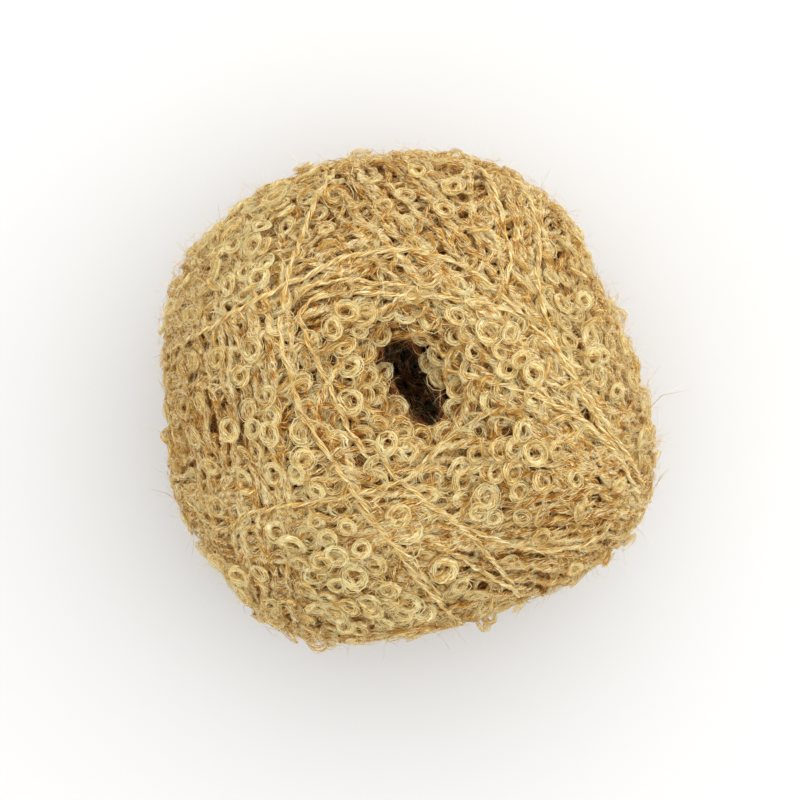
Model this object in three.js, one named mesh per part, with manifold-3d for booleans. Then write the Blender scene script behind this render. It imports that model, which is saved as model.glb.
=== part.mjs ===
// A ball of boucle mohair yarn, as it comes off a ball winder: one yarn wound in slanting turns round a
// spindle that was then drawn out, so that a narrow slanted hole runs through the ball. The ball lies on
// its end, squashed a little, on a small flat spot. +Z is the winding axis and points up.
// It is one solid: the wound form with its swathes of turns and three single turns raised on it.
import * as THREE from "three";
import { mergeVertices } from "three/addons/utils/BufferGeometryUtils.js";
import Module from "manifold-3d";

// Driving sizes, in millimetres.
const MEAN_RADIUS = 45.3;
const HEIGHT = 77.0;
const WIDEST_AT = 35.5; // height of the ball's widest level above the table
const SQUASH = 3.3; // how far the round underside is pressed flat
const ROUNDNESS = 2.25; // 2 is an ellipse, more is boxier

// Where the outline seen from above stands out or falls in: azimuth and spread in degrees, out in mm.
const OUTLINE_LOBES = [
  { name: "right shoulder", azimuth: 336, spread: 21, out: 3.8 },
  { name: "lower left corner", azimuth: 243, spread: 19, out: 2.4 },
  { name: "upper left corner", azimuth: 146, spread: 24, out: 2.0 },
  { name: "upper right corner", azimuth: 71, spread: 17, out: 2.2 },
  { name: "upper right flat", azimuth: 29, spread: 17, out: -2.2 },
  { name: "left flat", azimuth: 175, spread: 17, out: -2.4 },
  { name: "bottom flat", azimuth: 288, spread: 20, out: -2.2 },
];

// The spindle hole: half its length and width at three heights, as shares of the way up, and its slant.
const HOLE_CENTRE = new THREE.Vector2(1.9, 3.4);
const HOLE_SLANT = 118; // azimuth of its long way, in degrees
const HOLE_SECTIONS = [
  { name: "under mouth", up: 0, long: 9.0, short: 7.0 },
  { name: "narrowest", up: 0.5, long: 8.0, short: 5.0 },
  { name: "top throat", up: 1, long: 10.2, short: 5.2 },
];
const TOP_DIP = { deep: 8.0, wide: 8.5 }; // the crater that the turns leave round the hole
const UNDER_DIP = { deep: 3.5, wide: 4.0 };

// Every swathe and single turn lies in one plane: it comes up over the widest level at one azimuth, crosses
// the top at a point [x, y], goes down at another azimuth, and closes underneath.
const SWATHES = [
  { name: "upper left swathe", up: 168, over: [-14.0, 27.5], down: 52, ribs: 5 },
  { name: "right swathe", up: 56, over: [36.0, 4.0], down: 322, ribs: 5 },
  { name: "bottom swathe", up: 214, over: [-3.0, -35.0], down: 318, ribs: 5 },
  { name: "left swathe", up: 136, over: [-34.0, -4.0], down: 238, ribs: 5 },
  { name: "upper right swathe", up: 102, over: [16.5, 18.0], down: 344, ribs: 5 },
  { name: "lower right swathe", up: 208, over: [6.0, -19.5], down: 341, ribs: 5 },
];
const RIB_PITCH = 3.9;
const RIB_HIGH = 1.5;
const VALLEY_HIGH = 0.7;
const PRESSED_INSET = 0.3; // a swathe's edges overlap what it presses by this much
const PRESSED_DEEP = 1.0;

// Single turns that stand out on top of the swathes.
const TURNS = [
  { name: "long left turn", up: 104, over: [-21.0, 12.0], down: 285 },
  { name: "arch over the hole", up: 172, over: [-1.0, 25.5], down: 337 },
  { name: "hole to right edge", up: 118, over: [18.0, 2.5], down: 338 },
];
const TURN_HIGH = 1.0; // how far a single turn stands above what it crosses
const TURN_CROWN = 0.5; // half the width of its top
const ROOT_DEEP = 2.6; // how far its foot is buried, so that it never parts from the form
const ROOT_WIDE = 1.2;

// Mesh steps.
const COLUMNS = 36;
const SIDE_ROWS = 11;
const TOP_ROWS = 5;
const UNDER_ROWS = 3;
const SHAFT_ROWS = 6;
const TURN_STEPS = 30;

const radians = THREE.MathUtils.degToRad;
const CENTRE = new THREE.Vector3(0, 0, WIDEST_AT);
const UPPER_HALF = HEIGHT - WIDEST_AT;
const LOWER_HALF = WIDEST_AT + SQUASH;

// The direction that points to an azimuth and a height angle, both in degrees.
function aim(azimuth, rise) {
  const flat = Math.cos(radians(rise));
  return new THREE.Vector3(
    flat * Math.cos(radians(azimuth)),
    flat * Math.sin(radians(azimuth)),
    Math.sin(radians(rise)),
  );
}

// The outline's radius at the widest level.
function outlineRadius(azimuth) {
  return OUTLINE_LOBES.reduce((radius, lobe) => {
    const turned = Math.abs(((azimuth - lobe.azimuth + 540) % 360) - 180);
    return radius + lobe.out * Math.exp(-((turned / lobe.spread) ** 2));
  }, MEAN_RADIUS);
}

// How far a point lies outside the hole's edge, in mm, in the hole's own long and short ways.
function pastHoleEdge(x, y, section) {
  const slant = radians(HOLE_SLANT);
  const dx = x - HOLE_CENTRE.x;
  const dy = y - HOLE_CENTRE.y;
  const along = (dx * Math.cos(slant) + dy * Math.sin(slant)) / section.long;
  const across = (dy * Math.cos(slant) - dx * Math.sin(slant)) / section.short;
  return (Math.hypot(along, across) - 1) * Math.sqrt(section.long * section.short);
}

// Low lumps, a few to a side, such as soft winding leaves.
function lumps(direction) {
  const { x, y, z } = direction;
  return 0.5 * Math.sin(5 * x + 2 * z) * Math.sin(4 * y - 3 * z + 1) + 0.3 * Math.sin(9 * x - 7 * y + 5 * z);
}

// How far the wound form's surface lies from the ball's centre in a direction.
function reach(direction) {
  const azimuth = THREE.MathUtils.radToDeg(Math.atan2(direction.y, direction.x));
  const half = direction.z > 0 ? UPPER_HALF : LOWER_HALF;
  const sideways = Math.hypot(direction.x, direction.y) / outlineRadius(azimuth);
  const upright = Math.abs(direction.z) / half;
  const round = (sideways ** ROUNDNESS + upright ** ROUNDNESS) ** (-1 / ROUNDNESS);
  const dip = direction.z > 0 ? TOP_DIP : UNDER_DIP;
  const mouth = direction.z > 0 ? HOLE_SECTIONS[2] : HOLE_SECTIONS[0];
  const past = Math.max(0, pastHoleEdge(direction.x * round, direction.y * round, mouth));
  const sunk = Math.abs(direction.z) > 0.5 ? dip.deep * Math.exp(-past / dip.wide) : 0;
  const wound = round + lumps(direction) - sunk;
  const toTable = direction.z < 0 ? WIDEST_AT / -direction.z : Infinity;
  return Math.min(wound, toTable);
}

function surfacePoint(direction) {
  return CENTRE.clone().addScaledVector(direction, reach(direction));
}

// The hole's edge at a share of the way up, in the column at an azimuth.
function holePoint(azimuth, up) {
  const [under, narrow, top] = HOLE_SECTIONS;
  const [from, to] = up < narrow.up ? [under, narrow] : [narrow, top];
  const share = (up - from.up) / (to.up - from.up);
  const long = THREE.MathUtils.lerp(from.long, to.long, share);
  const short = THREE.MathUtils.lerp(from.short, to.short, share);
  const turned = radians(azimuth - HOLE_SLANT);
  return new THREE.Vector2(long * Math.cos(turned), short * Math.sin(turned))
    .rotateAround(new THREE.Vector2(), radians(HOLE_SLANT))
    .add(HOLE_CENTRE);
}

// The shoulder ring, where the side's rows end and the rows that close in on the hole begin.
const SHOULDER_RISE = 50;

// A row between the shoulder and the hole's edge, on top or underneath. share is 1 at the hole.
function endRow(azimuth, share, side) {
  const half = side > 0 ? UPPER_HALF : WIDEST_AT;
  const shoulder = surfacePoint(aim(azimuth, side * SHOULDER_RISE));
  const hole = holePoint(azimuth, side > 0 ? 1 : 0);
  const flat = new THREE.Vector2(shoulder.x, shoulder.y).lerp(hole, share);
  const high = THREE.MathUtils.lerp(shoulder.z - CENTRE.z, side * half, Math.sqrt(share));
  return surfacePoint(new THREE.Vector3(flat.x, flat.y, high).normalize());
}

// One column of points: up the side, in over the top to the hole, down the hole, and out underneath.
function column(azimuth) {
  const points = [];
  for (let row = 0; row < SIDE_ROWS; row++) {
    const rise = THREE.MathUtils.lerp(-SHOULDER_RISE, SHOULDER_RISE, row / (SIDE_ROWS - 1));
    points.push(surfacePoint(aim(azimuth, rise)));
  }
  for (let row = 1; row <= TOP_ROWS; row++) points.push(endRow(azimuth, row / TOP_ROWS, 1));
  const throat = points[points.length - 1];
  const mouth = endRow(azimuth, 1, -1);
  for (let row = 1; row < SHAFT_ROWS; row++) {
    const up = 1 - row / SHAFT_ROWS;
    const edge = holePoint(azimuth, up);
    points.push(new THREE.Vector3(edge.x, edge.y, THREE.MathUtils.lerp(mouth.z, throat.z, up)));
  }
  for (let row = UNDER_ROWS; row >= 1; row--) points.push(endRow(azimuth, row / UNDER_ROWS, -1));
  return points;
}

// A closed skin over loops of points that follow each other round a ring.
function closedRing(loops) {
  const size = loops[0].length;
  const index = [];
  loops.forEach((_, i) => {
    const next = (i + 1) % loops.length;
    for (let j = 0; j < size; j++) {
      const beside = (j + 1) % size;
      const [a, b] = [i * size + j, next * size + j];
      const [c, d] = [next * size + beside, i * size + beside];
      index.push(a, b, c, a, c, d);
    }
  });
  const position = loops.flat().flatMap((point) => point.toArray());
  const geometry = new THREE.BufferGeometry();
  geometry.setAttribute("position", new THREE.Float32BufferAttribute(position, 3));
  geometry.setIndex(index);
  return geometry;
}

// The wound form: its columns go round the axis, and each runs once round through the hole.
function woundForm() {
  return closedRing(Array.from({ length: COLUMNS }, (_, i) => column((360 * i) / COLUMNS)));
}

// The closed path of a single turn: where its plane cuts the wound surface.
class TurnPath extends THREE.Curve {
  constructor(turn) {
    super();
    const up = surfacePoint(aim(turn.up, 0));
    const down = surfacePoint(aim(turn.down, 0));
    const over = surfacePoint(new THREE.Vector3(...turn.over, UPPER_HALF).normalize());
    this.normal = up.clone().sub(over).cross(down.clone().sub(over)).normalize();
    this.middle = CENTRE.clone().addScaledVector(this.normal, over.clone().sub(CENTRE).dot(this.normal));
    this.first = up.clone().sub(this.middle).normalize();
    this.second = this.normal.clone().cross(this.first);
  }

  // The point where the ray from the turn's middle leaves the surface, found by halving.
  getPoint(share, target = new THREE.Vector3()) {
    const angle = 2 * Math.PI * share;
    const ray = this.first.clone().multiplyScalar(Math.cos(angle)).addScaledVector(this.second, Math.sin(angle));
    let [inside, outside] = [0, 2 * HEIGHT];
    for (let halving = 0; halving < 24; halving++) {
      const tried = (inside + outside) / 2;
      const fromCentre = this.middle.clone().addScaledVector(ray, tried).sub(CENTRE);
      const length = fromCentre.length();
      if (length < reach(fromCentre.normalize())) inside = tried;
      else outside = tried;
    }
    return target.copy(this.middle).addScaledVector(ray, inside);
  }
}

// A ring laid round the form along a turn's path. Its section lists corners, each some way across the path
// and some way out from the form.
function laidRing(path, section) {
  const centres = Array.from({ length: TURN_STEPS }, (_, i) => path.getPoint(i / TURN_STEPS));
  const loops = centres.map((centre, i) => {
    const ahead = centres[(i + 1) % TURN_STEPS].clone().sub(centres[(i + TURN_STEPS - 1) % TURN_STEPS]);
    const outward = centre.clone().sub(CENTRE);
    const sideways = ahead.cross(outward).normalize();
    return section.map(({ out, across }) => {
      const direction = outward.clone().addScaledVector(sideways, across).normalize();
      return CENTRE.clone().addScaledVector(direction, reach(direction) + out);
    });
  });
  return closedRing(loops);
}

// A swathe of turns side by side, as ribs and the valleys between them.
function swatheRing(swathe) {
  const half = (swathe.ribs * RIB_PITCH) / 2;
  const section = [{ across: half, out: -ROOT_DEEP }];
  for (let edge = 0; edge <= 2 * swathe.ribs; edge++) {
    const isRib = edge % 2 === 1;
    section.push({ across: half - (edge * RIB_PITCH) / 2, out: isRib ? RIB_HIGH : VALLEY_HIGH });
  }
  section.push({ across: -half, out: -ROOT_DEEP });
  return laidRing(new TurnPath(swathe), section);
}

// What a swathe presses flat where it crosses the swathes laid before it.
function pressedRing(swathe) {
  const half = (swathe.ribs * RIB_PITCH) / 2 - PRESSED_INSET;
  return laidRing(new TurnPath(swathe), [
    { across: half, out: -PRESSED_DEEP },
    { across: half, out: 3 * RIB_HIGH },
    { across: -half, out: 3 * RIB_HIGH },
    { across: -half, out: -PRESSED_DEEP },
  ]);
}

// A single turn, which lies on top of the swathes.
function turnRing(turn) {
  const crown = RIB_HIGH + TURN_HIGH;
  return laidRing(new TurnPath(turn), [
    { across: ROOT_WIDE, out: -ROOT_DEEP },
    { across: TURN_CROWN, out: crown },
    { across: -TURN_CROWN, out: crown },
    { across: -ROOT_WIDE, out: -ROOT_DEEP },
  ]);
}

const wasm = await Module();
wasm.setup();

// A three.js geometry as a solid that can be joined and cut.
function solidOf(geometry) {
  const bare = geometry.clone();
  bare.deleteAttribute("normal");
  bare.deleteAttribute("uv");
  const merged = mergeVertices(bare);
  const solid = new wasm.Manifold(
    new wasm.Mesh({
      numProp: 3,
      vertProperties: merged.attributes.position.array,
      triVerts: new Uint32Array(merged.index.array),
    }),
  );
  if (solid.volume() < 0) throw new Error("a piece is inside out");
  return solid;
}

// The table's level cuts off what the raised turns have underneath the flat spot.
function aboveTable() {
  const room = 2 * HEIGHT;
  return solidOf(new THREE.BoxGeometry(room, room, room).translate(0, 0, room / 2));
}

function ballGeometry() {
  let ball = solidOf(woundForm());
  for (const swathe of SWATHES) {
    ball = ball.subtract(solidOf(pressedRing(swathe))).add(solidOf(swatheRing(swathe)));
  }
  for (const turn of TURNS) ball = ball.add(solidOf(turnRing(turn)));
  const mesh = ball.intersect(aboveTable()).getMesh();
  const geometry = new THREE.BufferGeometry();
  geometry.setAttribute("position", new THREE.BufferAttribute(mesh.vertProperties, 3));
  geometry.setIndex(new THREE.BufferAttribute(mesh.triVerts, 1));
  return geometry;
}

// The part's own frame has its origin under the middle of the ball's box, on the table.
const geometry = ballGeometry();
geometry.computeBoundingBox();
const middle = geometry.boundingBox.getCenter(new THREE.Vector3());
geometry.translate(-middle.x, -middle.y, 0);
geometry.computeVertexNormals();

const yarn = new THREE.MeshStandardMaterial({ color: 0xcfa968, roughness: 0.95, metalness: 0 });
const ball = new THREE.Mesh(geometry, yarn);
ball.name = "wound_ball";

const part = new THREE.Group();
part.add(ball);

export default part;
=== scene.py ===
import math

import bpy
import numpy as np
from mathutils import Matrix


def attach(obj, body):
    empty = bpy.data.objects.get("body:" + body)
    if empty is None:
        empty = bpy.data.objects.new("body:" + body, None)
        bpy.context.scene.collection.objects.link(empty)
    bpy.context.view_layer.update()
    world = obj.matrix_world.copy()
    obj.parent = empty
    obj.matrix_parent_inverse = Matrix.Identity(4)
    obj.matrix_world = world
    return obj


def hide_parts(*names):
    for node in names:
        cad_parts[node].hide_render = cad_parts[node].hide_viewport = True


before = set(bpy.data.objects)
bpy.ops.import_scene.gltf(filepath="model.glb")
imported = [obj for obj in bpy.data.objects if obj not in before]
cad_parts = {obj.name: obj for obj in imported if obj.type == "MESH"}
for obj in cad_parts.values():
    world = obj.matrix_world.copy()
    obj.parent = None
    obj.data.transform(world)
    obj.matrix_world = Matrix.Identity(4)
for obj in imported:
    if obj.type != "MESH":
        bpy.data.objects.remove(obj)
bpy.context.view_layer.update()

# The wound form. One length of yarn is wound in slanting turns round a spindle, which is then drawn out and
# leaves a narrow slanted hole. The surface has the same sizes as the part's own solid, in millimetres from
# the ball's centre at its widest level, and every strand below is laid on it.
MM = 0.001
MEAN_RADIUS = 45.3
HEIGHT = 77.0
WIDEST_AT = 35.5
SQUASH = 3.3
ROUNDNESS = 2.25
BOX_MIDDLE = np.array([1.177, 0.879, -WIDEST_AT])  # the part's own origin, from the ball's centre
OUTLINE_LOBES = (  # azimuth, spread, out
    (336, 21, 3.8), (243, 19, 2.4), (146, 24, 2.0), (71, 17, 2.2),
    (29, 17, -2.2), (175, 17, -2.4), (288, 20, -2.2),
)
HOLE_CENTRE = np.array([1.9, 3.4])
HOLE_SLANT = math.radians(118)
HOLE_AXES = np.array([[math.cos(HOLE_SLANT), math.sin(HOLE_SLANT)],
                      [-math.sin(HOLE_SLANT), math.cos(HOLE_SLANT)]])  # its long and its short one
TOP_MOUTH, UNDER_MOUTH = (10.2, 5.2), (9.0, 7.0)
TOP_DIP, UNDER_DIP = (8.0, 8.5), (3.5, 4.0)  # deep, wide


def unit(vectors):
    return vectors / np.linalg.norm(vectors, axis=-1, keepdims=True)


def past_hole(x, y, mouth):
    """How many times its mouth's half size a point lies out from the hole's middle."""
    dx, dy = x - HOLE_CENTRE[0], y - HOLE_CENTRE[1]
    along = (dx * math.cos(HOLE_SLANT) + dy * math.sin(HOLE_SLANT)) / mouth[0]
    across = (dy * math.cos(HOLE_SLANT) - dx * math.sin(HOLE_SLANT)) / mouth[1]
    return np.hypot(along, across)


def form_reach(aim):
    """How far the wound form's surface lies from the ball's centre along each unit vector."""
    x, y, z = aim[..., 0], aim[..., 1], aim[..., 2]
    azimuth = np.degrees(np.arctan2(y, x))
    outline = MEAN_RADIUS
    for at, spread, out in OUTLINE_LOBES:
        turned = np.abs((azimuth - at + 540) % 360 - 180)
        outline = outline + out * np.exp(-((turned / spread) ** 2))
    half = np.where(z > 0, HEIGHT - WIDEST_AT, WIDEST_AT + SQUASH)
    sideways = np.hypot(x, y) / outline
    upright = np.abs(z) / half
    reach = (sideways**ROUNDNESS + upright**ROUNDNESS) ** (-1 / ROUNDNESS)
    lumps = 0.5 * np.sin(5 * x + 2 * z) * np.sin(4 * y - 3 * z + 1) + 0.3 * np.sin(9 * x - 7 * y + 5 * z)
    sunk = 0
    for side, mouth, (deep, wide) in ((1, TOP_MOUTH, TOP_DIP), (-1, UNDER_MOUTH, UNDER_DIP)):
        past = np.maximum(0, past_hole(x * reach, y * reach, mouth) - 1) * math.sqrt(mouth[0] * mouth[1])
        sunk = sunk + np.where(z * side > 0.5, deep * np.exp(-past / wide), 0)
    to_table = np.where(z < -0.1, WIDEST_AT / np.maximum(-z, 0.1), 1e3)
    return np.minimum(reach + lumps - sunk, to_table)


def on_form(aim):
    """The points where unit vectors meet the wound form's surface."""
    return aim * form_reach(aim)[..., None]


# The inside of the ball: the many turns under the outer ones, which only show as shade between them.
# It is the part's own solid, made smooth and drawn in by the thickness of the outer winding.
OUTER_WINDING = 2.5
STREAK_CONTRAST, CLUMP_CONTRAST = 5.6, 1.4  # how much fibres and clumps of them differ in shade


def give(node, values):
    """Sets constants on a node's own sockets."""
    for socket, value in values.items():
        node.inputs[socket].default_value = value
    return node


def in_tree(tree):
    """Two short ways to build in a node tree: a node, and a maths node with a value for each input."""
    def node(kind, **settings):
        made = tree.nodes.new("ShaderNode" + kind)
        for name, value in settings.items():
            setattr(made, name, value)
        return made

    def maths(operation, *values):
        made = node("Math", operation=operation)
        for socket, value in zip(made.inputs, values):
            if isinstance(value, float):
                socket.default_value = value
            else:
                tree.links.new(value, socket)
        return made.outputs[0]

    return node, maths, tree.links.new


def new_group(name, inputs, outputs):
    """A node group with its named sockets, and the nodes that these show on inside it."""
    group = bpy.data.node_groups.new(name, "ShaderNodeTree")
    for way, sockets in (("INPUT", inputs), ("OUTPUT", outputs)):
        for socket, kind in sockets.items():
            group.interface.new_socket(socket, in_out=way, socket_type="NodeSocket" + kind)
    return group, group.nodes.new("NodeGroupInput"), group.nodes.new("NodeGroupOutput")


def wool_group():
    """Noise that makes fibres: fine streaks along a strand, and clumps of paler and deeper wool."""
    group, given, made = new_group(
        "Mohair fibre", {"Along": "Vector", "Place": "Vector", "Shade": "Float", "Deep": "Color",
                         "Middle": "Color", "Pale": "Color"}, {"Color": "Color", "Relief": "Float"})
    node, maths, link = in_tree(group)
    parts = []
    for place, scale, detail, contrast in (
            ("Along", 1.0, 3.0, STREAK_CONTRAST), ("Place", 420.0, 4.0, CLUMP_CONTRAST)):
        noise = give(node("TexNoise"), {"Scale": scale, "Detail": detail})
        link(given.outputs[place], noise.inputs["Vector"])
        parts.append(maths("MULTIPLY_ADD", noise.outputs["Fac"], contrast, -contrast / 2))
        if place == "Along":
            link(noise.outputs["Fac"], made.inputs["Relief"])
    shaded = maths("ADD", maths("ADD", *parts), given.outputs["Shade"])
    shaded.node.use_clamp = True
    colour = given.outputs["Deep"]
    for limit, paler in (("From Max", "Middle"), ("From Min", "Pale")):  # below and above a half
        share, mix = give(node("MapRange", clamp=True), {limit: 0.5}), node("Mix", data_type="RGBA")
        link(shaded, share.inputs["Value"])
        link(share.outputs[0], mix.inputs["Factor"])
        link(colour, mix.inputs["A"])
        link(given.outputs[paler], mix.inputs["B"])
        colour = mix.outputs["Result"]
    link(colour, made.inputs["Color"])
    return group


mohair_fibre = wool_group()


def combed_group():
    """Where single fibres lie side by side: wavy lines with gaps between, as wide as the Width given."""
    group, given, made = new_group(
        "Combed fibres", {"Along": "Vector", "Width": "Float"}, {"Cover": "Float"})
    node, maths, link = in_tree(group)
    off_lines = []
    for across in (1.0, 1.31):
        place = give(node("VectorMath", operation="MULTIPLY_ADD"),
                     {1: (across, across, 1.0), 2: (17.0 * across, 5.0, 0.0)})
        noise = give(node("TexNoise", noise_dimensions="2D"), {"Scale": 1.0, "Detail": 0.0})
        link(given.outputs["Along"], place.inputs[0])
        link(place.outputs[0], noise.inputs["Vector"])
        off_lines.append(maths("ABSOLUTE", maths("SUBTRACT", noise.outputs["Fac"], 0.5)))
    link(maths("LESS_THAN", maths("MINIMUM", *off_lines), given.outputs["Width"]), made.inputs["Cover"])
    return group


combed_fibres = combed_group()


def wool_material(name, deep, middle, pale, rough, through, along_scale, relief=0.0003,
                  open_weave=True, runs="UV"):
    """Wool that light passes through a little, with the shared fibre noise for its colour and relief. Where
    it is an open weave, only its single fibres are there, and what lies behind shows between them."""
    material = bpy.data.materials.new(name)
    material.use_nodes = True
    tree = material.node_tree
    node, _, link = in_tree(tree)
    wool = give(tree.nodes["Principled BSDF"], {
        "Roughness": rough, "Specular IOR Level": 0.15,
        "Sheen Weight": 0.12, "Sheen Roughness": 0.5, "Sheen Tint": (1.0, 0.86, 0.58, 1)})
    fibre = give(node("Group", node_tree=mohair_fibre),
                 {"Deep": (*deep, 1), "Middle": (*middle, 1), "Pale": (*pale, 1)})
    place, shade = node("TexCoord"), node("Attribute", attribute_name="shade")
    link(place.outputs["Object"], fibre.inputs["Place"])
    link(shade.outputs["Fac"], fibre.inputs["Shade"])
    along = give(node("Mapping"), {"Scale": along_scale})
    link(place.outputs[runs], along.inputs["Vector"])
    link(along.outputs["Vector"], fibre.inputs["Along"])
    bump = give(node("Bump"), {"Strength": 0.6, "Distance": relief})
    link(fibre.outputs["Relief"], bump.inputs["Height"])
    link(bump.outputs["Normal"], wool.inputs["Normal"])
    link(fibre.outputs["Color"], wool.inputs["Base Color"])
    glow, both = node("BsdfTranslucent"), give(node("MixShader"), {"Fac": through})
    link(fibre.outputs["Color"], glow.inputs["Color"])
    link(bump.outputs["Normal"], glow.inputs["Normal"])
    link(wool.outputs["BSDF"], both.inputs[1])
    link(glow.outputs["BSDF"], both.inputs[2])
    if open_weave:
        combed, width = node("Group", node_tree=combed_fibres), node("Attribute", attribute_name="width")
        link(along.outputs["Vector"], combed.inputs["Along"])
        link(width.outputs["Fac"], combed.inputs["Width"])
        link(combed.outputs["Cover"], wool.inputs["Alpha"])
        gap, through_gap = node("BsdfTransparent"), node("MixShader")
        link(combed.outputs["Cover"], through_gap.inputs["Fac"])
        link(gap.outputs["BSDF"], through_gap.inputs[1])
        link(glow.outputs["BSDF"], through_gap.inputs[2])
        link(through_gap.outputs["Shader"], both.inputs[2])
    link(both.outputs["Shader"], tree.nodes["Material Output"].inputs["Surface"])
    return material


def new_object(name, data):
    """An object that is in the scene."""
    made = bpy.data.objects.new(name, data)
    bpy.context.scene.collection.objects.link(made)
    return made


# painted shade: the inner wool has the yarn's colours painted dark, for the shade between the outer turns
painted_shade_inner_wool = wool_material(
    "inner wool", deep=(0.22, 0.065, 0.012), middle=(0.45, 0.20, 0.05), pale=(0.80, 0.54, 0.17),
    rough=0.95, through=0.0, relief=0.0006, along_scale=(3600, 3600, 700), open_weave=False, runs="Object",
)
bpy.ops.object.select_all(action="DESELECT")
inside = new_object("ball_inside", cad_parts["wound_ball"].data.copy())
inside.data.materials.clear()
inside.data.materials.append(painted_shade_inner_wool)
bpy.context.view_layer.objects.active = inside
inside.select_set(True)
bpy.ops.object.mode_set(mode="EDIT")
bpy.ops.mesh.select_all(action="SELECT")
bpy.ops.mesh.remove_doubles(threshold=0.00001)
bpy.ops.object.mode_set(mode="OBJECT")
remesh = inside.modifiers.new("even faces", "REMESH")
remesh.mode = "VOXEL"
remesh.voxel_size = 0.0024
smooth = inside.modifiers.new("soft", "SMOOTH")
smooth.iterations = 12
for modifier in ("even faces", "soft"):
    bpy.ops.object.modifier_apply(modifier=modifier)
bpy.ops.object.mode_set(mode="EDIT")
bpy.ops.mesh.select_all(action="SELECT")
bpy.ops.transform.shrink_fatten(value=-OUTER_WINDING * MM)
bpy.ops.object.mode_set(mode="OBJECT")
bpy.ops.object.shade_smooth()
inside.data.attributes.new("shade", "FLOAT", "POINT")
low_down = np.clip([0.7 - vertex.co.z / 0.07 for vertex in inside.data.vertices], 0, 1)
inside.data.attributes["shade"].data.foreach_set(  # painted shade on top, where it only shows between the turns; paler on the sides, where more of it shows
    "value", (0.33 + 0.75 * low_down).astype(np.float32))
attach(inside, "root")
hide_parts("wound_ball")


# The winding. The yarn goes round the ball in slanting planes, and each turn is laid on those before it and
# pulled taut over them. The first turns lie deep and show only between the others.
rng = np.random.default_rng(27)
CELLS = 110  # patches along each side of a cube's face
PACKED_HIGH = 3.2  # turns bed into each other, so none is laid higher than this above the inside
stack = np.zeros(6 * CELLS * CELLS)  # how high the winding has grown on each patch of the ball
lid = np.full(6 * CELLS * CELLS, 99.0)  # under a main thread, how high anything below it can stand
run = np.zeros((6 * CELLS * CELLS, 3))  # which way the topmost strand runs there


def patch_of(aim):
    """The patch of the ball that each direction points to, on the six faces of a cube round it."""
    major = np.argmax(np.abs(aim), axis=-1)[..., None]
    far = np.take_along_axis(aim, major, -1)
    u = np.take_along_axis(aim, (major + 1) % 3, -1) / np.abs(far)
    v = np.take_along_axis(aim, (major + 2) % 3, -1) / np.abs(far)
    i, j = (((np.arctan(t) * 4 / np.pi + 1) / 2 * CELLS).astype(int).clip(0, CELLS - 1)[..., 0]
            for t in (u, v))
    return ((major * 2 + (far < 0))[..., 0] * CELLS + i) * CELLS + j


def round_hole(points):
    """Turns can't cross the hole, so one that would is led round it, on the side where it passes."""
    points = points.copy()
    for mouth, side in ((TOP_MOUTH, 1), (UNDER_MOUTH, -1)):
        shares = HOLE_AXES / np.array([[mouth[0] + 0.4], [mouth[1] - 0.2]])
        near = (points[:, 2] * side > 10) & (past_hole(*points.T[:2], mouth) < 3)
        near = np.nonzero(near)[0]
        if len(near) < 3:
            continue
        flat = points[near, :2] - HOLE_CENTRE
        away = unit(flat[np.argmin(np.linalg.norm(flat @ shares.T, axis=1))])
        for _ in range(6):
            inside = (points[near, :2] - HOLE_CENTRE) @ shares.T
            pull = shares @ away
            a, b, c = pull @ pull, 2 * inside @ pull, (inside**2).sum(1) - 1
            step = (np.sqrt(np.maximum(b**2 - 4 * a * c, 0)) - b) / (2 * a)
            points[near, :2] += np.where(c < 0, step, 0)[:, None] * away
            points[near] = on_form(unit(points[near]))
            for _ in range(4):
                before, after = (near - 1) % len(points), (near + 1) % len(points)
                points[near] = (points[before] + 2 * points[near] + points[after]) / 4
    return points


TURN_RADIUS = 44  # of a usual turn


def turn_line(normal, off, step):
    """The closed line where a plane, so far off from the ball's centre, cuts the wound form."""
    first = unit(np.cross(normal, [0.31, 0.52, 0.79]))
    second = np.cross(normal, first)
    count = int(math.tau * TURN_RADIUS / step)
    angle = np.linspace(0, math.tau, count, endpoint=False)[:, None]
    ray = first * np.cos(angle) + second * np.sin(angle)
    inner, outer = np.zeros((count, 1)), np.full((count, 1), 80.0)
    for _ in range(22):
        tried = (inner + outer) / 2
        point = normal * off + ray * tried
        far = np.linalg.norm(point, axis=1, keepdims=True)
        within = far < form_reach(point / far)[:, None]
        inner, outer = np.where(within, tried, inner), np.where(within, outer, tried)
    return round_hole(normal * off + ray * inner)


def hand_turn(normal, off, step, size=0.5, waves=(2, 3, 5)):
    """The line of a turn that strays from its plane, a little to each side, as hand winding does."""
    points = turn_line(normal, off, step)
    angle = np.linspace(0, math.tau, len(points), endpoint=False)
    stray = sum(np.sin(angle * k + rng.uniform(0, 6.3)) / k**0.5 for k in waves) * size
    return round_hole(on_form(unit(points + normal * stray[:, None])))


def ahead_of(line, closed):
    """Which way a line runs at each of its points."""
    return np.roll(line, -1, -2) - np.roll(line, 1, -2) if closed else np.gradient(line, axis=-2)


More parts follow.
